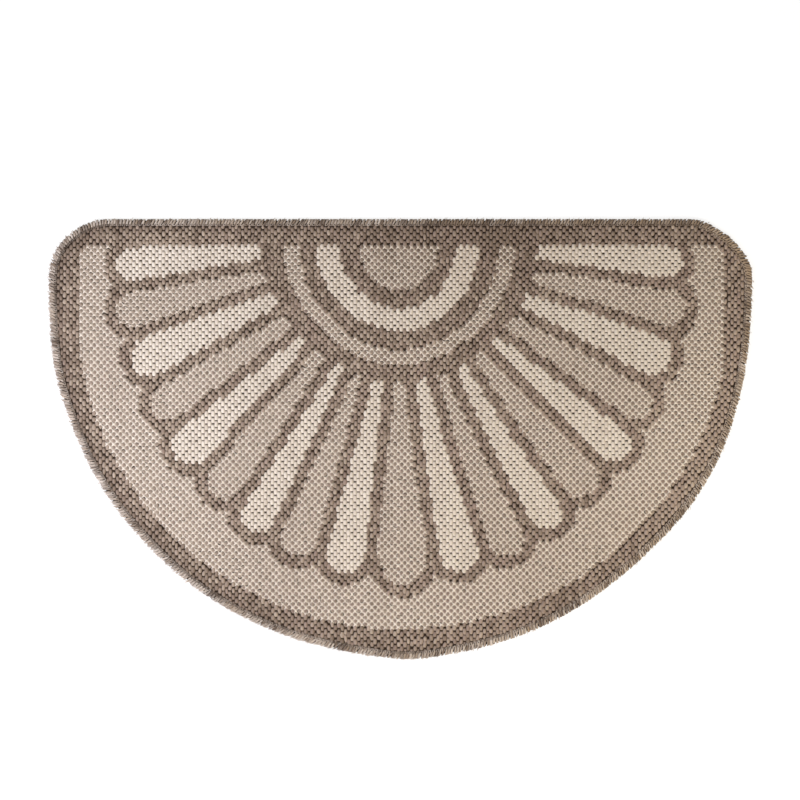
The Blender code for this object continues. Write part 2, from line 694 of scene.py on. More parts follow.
@dataclass(frozen=True)
class Joiner:
    """Joins copies of a form into one mesh and adds the result as a piece."""

    map_name: str = "OFBake"
    map_scale: float = 0.98
    map_middle: float = 0.5
    map_upper: float = 0.75
    map_lower: float = 0.25

    def _positions(self, form: Form, spots: Spots) -> np.ndarray:
        """The points of all the copies, one copy after the other.

        Args:
            form: What is repeated.
            spots: Where each copy lies.

        Returns:
            The points, a row each.
        """
        local = form.points[None, :, :] * spots.sizes[:, None, :]
        x = local[:, :, 0] + local[:, :, 1] * spots.leans[:, None]
        y = local[:, :, 1]
        cos, sin = np.cos(spots.turns)[:, None], np.sin(spots.turns)[:, None]
        turned = np.stack([x * cos - y * sin, x * sin + y * cos, local[:, :, 2]], axis=2)
        return (turned + spots.places[:, None, :]).reshape(-1, 3)

    def _add_map(self, mesh: bpy.types.Mesh, points: np.ndarray, corners: np.ndarray,
                 up: np.ndarray) -> None:
        """Lay the upper faces flat in one half of the map and the lower ones in the other.

        Args:
            mesh: The mesh that gets the map.
            points: Its points.
            corners: The point at each face corner.
            up: Which face corners belong to upper faces.
        """
        layer = mesh.uv_layers.new(name=self.map_name)
        flat = points[corners, :2] * self.map_scale
        flat[:, 0] += self.map_middle
        flat[:, 1] += np.where(up, self.map_upper, self.map_lower)
        layer.data.foreach_set("uv", flat.ravel())

    def join(self, name: str, form: Form, spots: Spots, finish: bpy.types.Material) -> bpy.types.Object:
        """Add the copies as one piece.

        Args:
            name: The piece's name.
            form: What is repeated.
            spots: Where each copy lies.
            finish: The material.

        Returns:
            The piece.
        """
        points = self._positions(form, spots)
        shifts = np.arange(spots.count)[:, None] * len(form.points)
        corners = (form.corners[None, :] + shifts).ravel()
        counts = np.tile(form.counts, spots.count)
        starts = np.concatenate([[0], np.cumsum(counts)[:-1]])
        mesh = bpy.data.meshes.new(name)
        mesh.vertices.add(len(points))
        mesh.vertices.foreach_set("co", points.ravel())
        mesh.loops.add(len(corners))
        mesh.loops.foreach_set("vertex_index", corners)
        mesh.polygons.add(len(counts))
        mesh.polygons.foreach_set("loop_start", starts)
        mesh.update(calc_edges=True)
        mesh.shade_smooth()
        # The depth mark is each point's painted shade, scaled by its spot's shade
        marks = {
            "tone": np.repeat(spots.tones, len(form.points)),
            "hue": np.repeat(spots.hues, len(form.points)),
            "depth": (spots.shades[:, None] * form.depth[None, :]).ravel(),
        }
        for mark, values in marks.items():
            mesh.attributes.new(mark, "FLOAT", "POINT").data.foreach_set("value", values)
        up = np.tile(np.repeat(form.faces_up, form.counts), spots.count)
        self._add_map(mesh, points, corners, up)
        mesh.materials.append(finish)
        piece = bpy.data.objects.new(name, mesh)
        bpy.context.scene.collection.objects.link(piece)
        LOG.info("%s: %d copies, %d triangles", name, spots.count, spots.count * form.triangles)
        return piece


def start_editing() -> None:
    """Go into edit mode on the active object with all of it selected."""
    bpy.ops.object.mode_set(mode="EDIT")
    bpy.ops.mesh.select_mode(type="VERT")
    bpy.ops.mesh.select_all(action="SELECT")


def stop_editing() -> None:
    """Leave edit mode."""
    bpy.ops.object.mode_set(mode="OBJECT")


def select_points(test: Callable[[Any], bool]) -> None:
    """Select the points of the edited mesh that pass a test.

    Args:
        test: Takes a point's place and says whether it is wanted.
    """
    mesh = bpy.context.edit_object.data
    work = bmesh.from_edit_mesh(mesh)
    for vert in work.verts:
        vert.select_set(bool(test(vert.co)))
    work.select_flush_mode()
    bmesh.update_edit_mesh(mesh)


def select_level_faces(way: float) -> None:
    """Select the edited mesh's level faces that look up or down.

    Args:
        way: 1 for up, -1 for down.
    """
    mesh = bpy.context.edit_object.data
    work = bmesh.from_edit_mesh(mesh)
    for face in work.faces:
        face.select_set(False)
    for face in work.faces:
        if face.normal.z * way > LEVEL_NORMAL:
            face.select_set(True)
    bmesh.update_edit_mesh(mesh)


def deselect_objects() -> None:
    """Leave no object selected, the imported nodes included."""
    for thing in bpy.context.scene.objects:
        thing.select_set(False)


def draw_line(stops: list[tuple[float, float, float]], closed: bool = False) -> bpy.types.Curve:
    """Draw straight lines from stop to stop as a curve object.

    Args:
        stops: The places that it passes.
        closed: Whether it goes back to the first.

    Returns:
        The curve.
    """
    deselect_objects()
    bpy.ops.curve.primitive_nurbs_path_add()
    curve = bpy.context.object.data
    curve.splines.clear()
    spline = curve.splines.new("POLY")
    spline.points.add(len(stops) - 1)
    for point, stop in zip(spline.points, stops):
        point.co = (*stop, 1.0)
    spline.use_cyclic_u = closed
    return curve


def finish_piece(piece: bpy.types.Object) -> bpy.types.Object:
    """Tie a piece to the body.

    Args:
        piece: The piece.

    Returns:
        The piece.
    """
    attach(piece, BODY)
    return piece


@dataclass
class GroundCloth:
    """The cloth under the floats: a flat sheet whose rim is pressed thin under the edge thread."""

    rim: Rim
    top: float = 0.0034
    rim_inset: float = 0.0020
    rim_low: float = 0.0014
    rim_high: float = 0.0039
    edge_reach: float = 0.0096
    shoulder: float = 0.0006
    rim_points: int = 260
    smooth_degrees: float = 30.0

    def _outline(self) -> None:
        """Draw the outline as a closed line and fill it with one face."""
        places, out = self.rim.stations(self.rim_points)
        drawn = places - out * self.rim_inset
        draw_line([(x, y, self.rim_low) for x, y in drawn.tolist()], closed=True)
        bpy.ops.object.convert(target="MESH")
        bpy.context.object.name = "ground_cloth"
        start_editing()
        bpy.ops.mesh.edge_face_add()

    def _thickness(self) -> None:
        """Give the outline its pressed rim, and its full thickness inside that."""
        pressed = self.rim_high - self.rim_low
        bpy.ops.mesh.extrude_region_move(TRANSFORM_OT_translate={"value": (0.0, 0.0, pressed)})
        bpy.ops.mesh.select_all(action="SELECT")
        bpy.ops.mesh.normals_make_consistent(inside=False)
        bpy.ops.mesh.select_mode(type="FACE")
        for way, level, pressed_level in ((1, self.top, self.rim_high), (-1, 0.0, self.rim_low)):
            select_level_faces(way)
            bpy.ops.mesh.inset(thickness=self.edge_reach - self.rim_inset - self.shoulder, depth=0.0)
            bpy.ops.mesh.inset(thickness=self.shoulder, depth=0.0)
            bpy.ops.transform.translate(value=(0.0, 0.0, level - pressed_level))

    def build(self, ground: bpy.types.Material, back: bpy.types.Material) -> bpy.types.Object:
        """Model the cloth.

        Args:
            ground: The finish of its face, which shows between the floats, near-black as painted shade.
            back: The finish of its underside.

        Returns:
            The piece.
        """
        self._outline()
        piece = bpy.context.object
        piece.data.materials.append(ground)
        piece.data.materials.append(back)
        self._thickness()
        select_level_faces(-1)
        piece.active_material_index = 1
        bpy.ops.object.material_slot_assign()
        stop_editing()
        bpy.ops.object.shade_smooth_by_angle(angle=math.radians(self.smooth_degrees))
        LOG.info("%s: %d faces", piece.name, len(piece.data.polygons))
        return finish_piece(piece)


@dataclass(frozen=True)
class FloatShape:
    """The size and fullness of one float of yarn, in metres, and how light it is."""

    half_width: float
    half_length: float
    height: float
    fullness: float
    shoulder: float
    flatness: float
    tone: float
    side_shade: float = 0.9
    side_level: float = 0.62
    end_shade: float = 0.8
    end_from: float = 0.85
    end_dip: float = 0.45

    def model(self) -> Form:
        """Model the float lying along Y: a sphere, drawn long, with blunt shoulders and dipped ends.

        Returns:
            Its form.
        """
        deselect_objects()
        bpy.ops.mesh.primitive_uv_sphere_add(segments=6, ring_count=5, radius=1.0)
        start_editing()
        origin = (0.0, 0.0, 0.0)
        bpy.ops.transform.rotate(value=math.pi / 2, orient_axis="X", center_override=origin)
        select_points(lambda place: PAST_MIDDLE < abs(place.y) < AT_POLE)
        swell = (self.fullness, self.shoulder, self.fullness)
        bpy.ops.transform.resize(value=swell, center_override=origin)
        select_points(lambda place: abs(place.z) > OFF_SIDE and abs(place.y) < AT_POLE)
        bpy.ops.transform.resize(value=(self.flatness, 1.0, 1.0), center_override=origin)
        select_points(lambda place: abs(place.y) > AT_POLE)
        bpy.ops.transform.translate(value=(0.0, 0.0, -self.end_dip))
        bpy.ops.mesh.select_all(action="SELECT")
        size = (self.half_width, self.half_length, self.height)
        bpy.ops.transform.resize(value=size, center_override=origin)
        stop_editing()
        return Form.take(bpy.context.object, self._painted_shade)

    def _painted_shade(self, points: np.ndarray) -> np.ndarray:
        """How much painted shade each point gets: 0 along the crown, 1 at the ends and the underside.

        Args:
            points: The points.

        Returns:
            The painted shade of each point.
        """
        along = np.abs(points[:, 1]) / self.half_length
        end = np.clip((along - self.end_from) / (1.0 - self.end_from), 0.0, 1.0)
        low = np.clip(self.side_level - points[:, 2] / self.height, 0.0, 1.0)
        return np.clip(end * self.end_shade + low * self.side_shade, 0.0, 1.0)


@dataclass(frozen=True)
class KnotShape:
    """A short float of the mixed weave: eight-sided, reaching further one way than the other.

    The pale knots reach out diagonally until their arms meet as a net. The brown ones fill the
    openings of that net and are dimpled in the middle, where the yarn goes down into the cloth.
    """

    diagonal: float
    straight: float
    height: float
    crown: float
    tone: float
    side_shade: float = 0.35
    height_light: float = 0.6
    dimple_share: float = 0.25

    def model(self) -> Form:
        """Model the knot: a flat round, with every second side pushed or pulled.

        Returns:
            Its form.
        """
        deselect_objects()
        bpy.ops.mesh.primitive_uv_sphere_add(segments=8, ring_count=3, radius=1.0)
        start_editing()
        origin = (0.0, 0.0, 0.0)
        pulled = self.diagonal / self.straight
        select_points(lambda place: abs(place.x) > OFF_SIDE and abs(place.y) > OFF_SIDE)
        bpy.ops.transform.resize(value=(pulled, pulled, 1.0), center_override=origin)
        select_points(lambda place: place.z > AT_POLE)
        bpy.ops.transform.translate(value=(0.0, 0.0, self.crown - 1.0))
        bpy.ops.mesh.select_all(action="SELECT")
        ring_radius = math.cos(math.radians(30))
        wide = self.straight / ring_radius
        bpy.ops.transform.resize(value=(wide, wide, self.height), center_override=origin)
        stop_editing()
        return Form.take(bpy.context.object, self._painted_shade)

    def _painted_shade(self, points: np.ndarray) -> np.ndarray:
        """How much painted shade each point gets: less the higher it lies, most underneath and in a
        dimple.

        Args:
            points: The points.

        Returns:
            The painted shade of each point.
        """
        # Painted shade in the dimple, and painted light that grows with height
        middle = np.hypot(points[:, 0], points[:, 1]) < self.straight * self.dimple_share
        dimple = middle * max(0.0, 1.0 - self.crown)
        lit = self.height_light * points[:, 2] / self.height
        return np.clip(self.side_shade - lit + dimple, 0.0, 1.0)


# Soft patches where the yarn is lighter or darker: X, Y and radius in metres, and lift in tone
TONE_PATCHES = (
    (0.00, 0.245, 0.06, -0.60),
    (0.12, 0.245, 0.07, -0.80),
    (-0.27, 0.240, 0.05, 0.30),
    (0.345, -0.01, 0.10, 0.50),
    (-0.15, -0.19, 0.09, -0.25),
    (-0.30, 0.15, 0.09, 0.15),
    (0.20, 0.17, 0.06, 0.25),
    (-0.355, 0.09, 0.07, -0.25),
    (-0.365, 0.222, 0.03, -0.35),
    (0.365, 0.222, 0.03, -0.25),
    (-0.27, 0.06, 0.09, 0.25),
    (0.16, -0.15, 0.06, -0.30),
)

# The same for the thread of the edge
EDGE_TONE_PATCHES = (
    (0.06, 0.25, 0.06, -0.40),
    (-0.365, 0.235, 0.045, -0.50),
    (-0.19, -0.19, 0.06, -0.30),
    (0.10, -0.24, 0.035, 0.45),
    (0.37, 0.0, 0.05, 0.25),
    (0.39, 0.06, 0.03, 0.20),
    (0.02, -0.25, 0.03, -0.35),
    (0.07, 0.25, 0.03, -0.25),
)


def patch_tones(tone_patches: tuple[tuple[float, ...], ...], x: np.ndarray, y: np.ndarray) -> np.ndarray:
    """How much soft round areas lift or lower the tone of the yarn at some places.

    Args:
        tone_patches: The areas, each as a centre, a radius and what it adds to the tone.
        x: The places, across.
        y: The places, up.

    Returns:
        What is added to the tone at each place.
    """
    added = np.zeros(len(x))
    for patch_x, patch_y, radius, lift in tone_patches:
        added += lift * np.exp(-((x - patch_x) ** 2 + (y - patch_y) ** 2) / radius ** 2)
    return added


# Slow waves over the cloth: radians to the metre along X and Y, and where each starts
Waves = tuple[tuple[float, float, float], ...]


def wander(waves: Waves, x: np.ndarray, y: np.ndarray) -> np.ndarray:
    """How far slow waves, added up, carry some places of the cloth.

    Args:
        waves: The waves.
        x: The places, across.
        y: The places, up.

    Returns:
        The sum at each place, 1 for the height of one wave.
    """
    return sum(np.sin(across * x + up * y + start) for across, up, start in waves)


@dataclass(frozen=True)
class Looseness:
    """How unevenly the floats lie: lengths in metres, shares of a size, and tones."""

    sway: Waves = ((7.0, 21.0, 1.0), (-15.0, 43.0, 0.0))
    sway_across: float = 0.00022
    dip: Waves = ((17.0, 5.0, 2.0), (47.0, -9.0, 0.0))
    dip_along: float = 0.00026
    swell: Waves = ((31.0, 11.0, 0.0), (13.0, -37.0, 2.0))
    swell_size: float = 0.05
    column_slip: float = 0.00014
    across: float = 0.00011
    along: float = 0.00015
    up: float = 0.00007
    size: float = 0.045
    turn: float = math.radians(3.5)
    tone: float = 0.14
    column_tone: float = 0.12
    column_least: float = -1.5
    column_most: float = 2.5
    hue: float = 0.35
    hue_spread: float = 0.28
    taupe_rough: float = 1.8


@dataclass(frozen=True)
class ClothTint:
    """Where the cloth is darker, lighter or warmer: painted shadow by the rim, painted shade at the top
    right, painted warm light to the right, a lighter field and a softer left: tones, tones to the metre,
    and distances.
    """

    rim_inset: float = 0.0160
    rim_band: float = 0.004
    # Painted shadow of the edge thread near the rim, weaker to the right; painted shade at the top right;
    # painted warm light to the right
    rim_shadow: float = 0.30
    rim_shadow_less_right: float = 0.9
    top_shade_right: float = 0.3
    warm_light_right: float = 0.9
    field_lift: float = 0.20
    left_reach: float = 0.3
    left_taupe: float = 0.50
    left_knots: float = -0.16


@dataclass
class Weave:
    """The face of the cloth: floats of yarn in staggered columns, chosen by the sunburst."""

    rim: Rim
    pattern: Sunburst
    ground: GroundCloth
    column: float = 0.003750
    row: float = 0.003860
    seed: int = 7
    side_reach: float = 0.0018
    end_reach: float = 0.0026
    side_tuck: float = 0.0036
    end_tuck: float = 0.0056
    sunk_inset: float = 0.0140
    sunk_band: float = 0.004
    sunk_depth: float = 0.0006
    sunk_flatter: float = 0.15
    loose: Looseness = Looseness()
    tint: ClothTint = ClothTint()
    cream: FloatShape = FloatShape(half_width=0.00206, half_length=0.00354, height=0.0018, fullness=1.40,
                                   shoulder=1.05, flatness=1.36, tone=0.52, side_shade=0.95,
                                   end_shade=0.7, end_dip=0.4)
    taupe: FloatShape = FloatShape(half_width=0.00206, half_length=0.00342, height=0.0019, fullness=1.20,
                                   shoulder=1.04, flatness=1.24, tone=0.47, side_shade=0.85)
    knot: KnotShape = KnotShape(diagonal=0.0038, straight=0.00135, height=0.0016, crown=1.0, tone=0.52)
    small_taupe: KnotShape = KnotShape(diagonal=0.0021, straight=0.0027, height=0.0015, crown=0.45,
                                       tone=0.87)
    pieces: list[bpy.types.Object] = field(default_factory=list)

    def _crossings(self) -> tuple[np.ndarray, np.ndarray, np.ndarray]:
        """Every crossing inside the edge thread.

        Returns:
            Column numbers, row numbers and the inset of each from the rim.
        """
        width, depth = self.rim.size
        spare = 2
        columns = int(width / 2 / self.column) + spare
        rows = int(depth / 2 / self.row) + spare
        across, up = np.meshgrid(np.arange(-columns, columns), np.arange(-rows, rows), indexing="ij")
        across, up = across.ravel(), up.ravel()
        x, y = (across + 0.5) * self.column, (up + 0.5) * self.row
        insets, aside, along = self.rim.insets, self.side_reach, self.end_reach
        sides = np.minimum(insets(x - aside, y), insets(x + aside, y))
        ends = np.minimum(insets(x, y - along), insets(x, y + along))
        thread = self.ground.edge_reach
        inside = (sides > thread - self.side_tuck) & (ends > thread - self.end_tuck)
        return across[inside], up[inside], insets(x, y)[inside]

    def _spots(self, across: np.ndarray, up: np.ndarray, inset: np.ndarray, rough: np.ndarray) -> Spots:
        """Uneven places, sizes and colours for the floats at all the crossings.

        Args:
            across: Their column numbers.
            up: Their row numbers.
            inset: How far in from the rim each lies.
            rough: How unevenly each lies, 1 for the smoothest.

        Returns:
            The spots.
        """
        rng, loose, tint = np.random.default_rng(self.seed), self.loose, self.tint
        count = len(across)
        column = across - across.min()
        wave = rng.normal(0.0, 1.0, column.max() + 1)[column]
        flat_x, flat_y = (across + 0.5) * self.column, (up + 0.5) * self.row
        sway, dip = wander(loose.sway, flat_x, flat_y), wander(loose.dip, flat_x, flat_y)
        x = flat_x + loose.sway_across * sway + rng.normal(0.0, loose.across, count) * rough
        y = flat_y + loose.dip_along * dip + wave * loose.column_slip
        y += rng.normal(0.0, loose.along, count) * rough
        sunk = np.clip((self.sunk_inset - inset) / self.sunk_band, 0.0, 1.0)
        z = self.ground.top - self.sunk_depth * sunk + rng.normal(0.0, loose.up, count)
        sizes = 1.0 + rng.normal(0.0, loose.size, (count, 3)) * rough[:, None]
        sizes[:, 2] -= self.sunk_flatter * sunk
        tones = np.clip(wave, loose.column_least, loose.column_most) * loose.column_tone
        tones += rng.normal(0.0, loose.tone, count) * rough
        # Painted warm light: the hue grows warmer towards the right
        hues = np.clip(rng.normal(loose.hue, loose.hue_spread, count) + tint.warm_light_right * x, 0.0, 1.0)
        turns = rng.normal(0.0, loose.turn, count) * rough
        # Painted shadow of the edge thread near the rim, weaker to the right, and painted shade over the
        # top border on the right
        near = np.clip((tint.rim_inset - inset) / tint.rim_band, 0.0, 1.0)
        top_shade = tint.top_shade_right * np.maximum(x, 0.0) * (y > self.pattern.field_top)
        tones -= near * (tint.rim_shadow - tint.rim_shadow_less_right * x) + top_shade
        tones += patch_tones(TONE_PATCHES, x, y)
        places = np.stack([x, y, z], axis=1)
        return Spots(places, sizes, turns, np.zeros(count), tones, hues, np.ones(count))

    def build(self, cream: bpy.types.Material, taupe: bpy.types.Material) -> list[bpy.types.Object]:
        """Lay all the floats.

        Args:
            cream: The pale yarn.
            taupe: The brown yarn.

        Returns:
            The pieces, each a yarn's floats of one kind on one side.
        """
        across, up, inset = self._crossings()
        x, y = (across + 0.5) * self.column, (up + 0.5) * self.row
        look = self.pattern.looks(x, y)
        over = (across + up) % 2 == 0
        netted = look >= Look.MIXED
        loose, tint = self.loose, self.tint
        rough = np.where(look == Look.TAUPE, loose.taupe_rough, 1.0) + (over & netted)
        spots = self._spots(across, up, inset, rough)
        spots.tones += tint.field_lift * (look == Look.PALE_MIXED)
        leftwards = np.clip(-x / tint.left_reach, 0.0, 1.0)
        spots.tones += netted * leftwards * np.where(over, tint.left_taupe, tint.left_knots)
        longer = netted * wander(loose.swell, x, y) * loose.swell_size
        spots.sizes[:, :2] += np.stack([-longer, longer], axis=1)
        kinds = (
            ("cream_floats", self.cream, over & (look == Look.CREAM), cream),
            ("taupe_floats", self.taupe, over & (look == Look.TAUPE), taupe),
            ("mixed_cream_knots", self.knot, ~over & netted, cream),
            ("mixed_taupe_floats", self.small_taupe, over & netted, taupe),
        )
        joiner = Joiner()
        for name, shape, chosen, finish in kinds:
            form = shape.model()
            for side, on_side in (("left", x < 0), ("right", x >= 0)):
                picked = spots.pick(chosen & on_side, shape.tone)
                piece = joiner.join(f"{name}_{side}", form, picked, finish)
                self.pieces.append(finish_piece(piece))
        return self.pieces


@dataclass(frozen=True)
class ThreadPath:
    """A thread of the edge, as stops from the underside over the rim to the stitch line."""

    thickness: float
    reach: float = 0.0095
    top: float = 0.00475
    low: float = 0.00065
    inner_band: float = 0.0060
    inner_shade: float = 0.35
    under_level: float = 0.0016
    under_shade: float = 0.5

    def leg(self, inner: float) -> list[tuple[float, float, float]]:
        """Stops of one thread over the rim.

        Args:
            inner: How far from the stitch line it ends on the top face.

        Returns:
            Places as along, outwards from the stitch line, and up.
        """
        rim, top, low = self.reach - self.thickness / 2, self.top, self.low
        rise = top - low
        section = (
            (0.0010, low + 0.0002),
            (rim - 0.0034, low),
            (rim - 0.0009, low + rise * 0.05),
            (rim - 0.0001, low + rise * 0.30),
            (rim, low + rise * 0.55),
            (rim - 0.0007, low + rise * 0.80),
            (rim - 0.0022, top - 0.0003),
            (rim - 0.0044, top + 0.0001),
            (inner, top - 0.0001),
        )
        return [(0.0, out, up) for out, up in section]

    def model(self, stops: list[tuple[float, float, float]], sides: int) -> Form:
        """Model a thread along stops.

        Args:
            stops: The places that it passes.
            sides: 4, 6 or 8 faces round it.

        Returns:
            Its form.
        """
        curve = draw_line(stops)
        curve.dimensions = "3D"
        curve.twist_mode = "MINIMUM"
        curve.bevel_depth = self.thickness / 2
        curve.bevel_resolution = (sides - 4) // 2
        curve.use_fill_caps = True
        bpy.ops.object.convert(target="MESH")
        return Form.take(bpy.context.object, self._painted_shade)

    def _painted_shade(self, points: np.ndarray) -> np.ndarray:
        """How much painted shade each point gets: 0 on the outside, most at the stitch line and
        underneath.

        Args:
            points: The points.

        Returns:
            The painted shade of each point.
        """
        inner = np.clip(1.0 - points[:, 1] / self.inner_band, 0.0, 1.0)
        under = np.clip((self.under_level - points[:, 2]) / self.under_level, 0.0, 1.0)
        return np.clip(inner * self.inner_shade + under * self.under_shade, 0.0, 1.0)


@dataclass(frozen=True)
class Sewing:
    """How unevenly the edge is sewn: shares of a size, leans and tones."""

    width: float = 0.12
    length: float = 0.03
    straight_length: float = 0.2
    height: float = 0.015
    lean: float = 0.03
    lean_drift: float = 0.11
    tone: float = 0.22
    stitch_tone: float = 0.28
    tone_drift: float = 0.24
    hue: float = 0.4
    hue_spread: float = 0.3


@dataclass(frozen=True)
class EdgeTint:
    """Painted light and shade on the edge thread round the mat, lighter or darker patches and painted warm
    light: tones, and tones and hues to the metre.
    """

    # Painted light and shade: level and facing light the thread by the way it faces, the lower right and
    # the top right are painted darker, and the right is painted warmer
    level: float = -0.05
    facing: tuple[float, float] = (-0.13, -0.06)
    lower_shade_right: float = 0.4
    top_shade_right: float = 1.1
    warm_light_right: float = 2.0
    warm_light_below: float = 0.4
    least_shade: float = 0.1
    most_shade: float = 1.8

    def tones(self, places: np.ndarray, out: np.ndarray) -> np.ndarray:
        """What painted light and shade, and lighter or darker patches, add to the tone of the thread.

        Args:
            places: Places on the rim.
            out: The directions that face out of the mat there.

        Returns:
            What is added at each place.
        """
        # Painted light by facing, painted shade at the lower and top right, and the lighter or darker
        # patches
        lit = out @ np.array(self.facing) + self.level
        lit += self.lower_shade_right * np.maximum(out[:, 0], 0.0) * np.minimum(out[:, 1], 0.0)
        lit += patch_tones(EDGE_TONE_PATCHES, places[:, 0], places[:, 1])
        return lit - self.top_shade_right * places[:, 0] * np.maximum(out[:, 1], 0.0)

    def hues(self, places: np.ndarray, out: np.ndarray) -> np.ndarray:
        """What painted warm light adds to the hue of the thread.

        Args:
            places: Places on the rim.
            out: The directions that face out of the mat there.

        Returns:
            What is added at each place.
        """
        share = np.where(out[:, 1] > 0.0, 1.0, self.warm_light_below)
        return self.warm_light_right * np.maximum(places[:, 0], 0.0) * share


@dataclass(frozen=True)
class NeedleLoops:
    """The small loops round the needle holes: their thread, their width and how they are lit."""

    thread: ThreadPath = ThreadPath(0.00115, top=0.00470)
    contrast: float = 0.4
    tone: float = 0.4
    width: float = 0.82
    width_drift: float = 0.22
    least_width: float = 0.35
    most_width: float = 1.05
    lit_right: float = 0.40
    lit_down: float = 0.22

    def model(self) -> Form:
        """Model one loop, inside the strands.

        Returns:
            Its form.
        """
        top = self.thread.top
        leg = [(-0.00110, 0.0046, top - 0.0004), (-0.00130, 0.0034, top), (-0.00115, 0.0022, top)]
        turn = [(-0.00050, 0.0012, top - 0.0002), (0.00050, 0.0012, top - 0.0002)]
        back = [(-along, out, up) for along, out, up in leg[::-1]]
        return self.thread.model(leg + turn + back, sides=6)

    def vary(self, spots: Spots, drift: np.ndarray) -> None:
        """Make the loops wide or narrow and light the ones that look right or down.

        Args:
            spots: Where they lie.
            drift: How the sewing drifts from stitch to stitch.
        """
        widths = self.width + self.width_drift * drift
        spots.sizes[:, 0] *= np.clip(widths, self.least_width, self.most_width)
        right, down = -np.sin(spots.turns), -np.cos(spots.turns)
        spots.tones += self.lit_right * np.maximum(right, 0.0) + self.lit_down * np.maximum(down, 0.0)


@dataclass(frozen=True)
class Fraying:
    """The loose fibres: how many leave the rim, and where most of them do."""

    thread: ThreadPath = ThreadPath(0.00055)
    per_stitch: int = 5
    # Painted highlight: the loose fibres are lighter than the thread
    highlight_lift: float = 0.45
    side_turn: float = math.pi / 2 - 0.35
    share: float = 0.10
    frayed_share: float = 0.85
    lean: float = 0.2
    least_length: float = 0.92
    most_length: float = 1.05

    def model(self) -> Form:
        """Model one loose fibre."""
        stops = [(0.0, 0.0048, 0.0053), (0.0002, 0.0078, 0.0052), (0.0005, 0.0095, 0.0040)]
        return self.thread.model(stops + [(0.0010, 0.0106, 0.0030)], sides=4)

    def thin(self, spots: Spots, rng: np.random.Generator) -> Spots:
        """Keep some of the fibres, most on the frayed side, each with a lean and length of its own.

        Args:
            spots: Where fibres could lie.
            rng: The source of unevenness.

        Returns:
            Where they do lie.
        """
        frayed = np.clip(-np.cos(spots.turns + self.side_turn), 0.0, 1.0)
        wanted = rng.random(spots.count) < self.share + self.frayed_share * frayed
        spots.leans += rng.normal(0.0, self.lean, spots.count)
        spots.sizes[:, 1] *= rng.uniform(self.least_length, self.most_length, spots.count)
        return spots.pick(wanted)


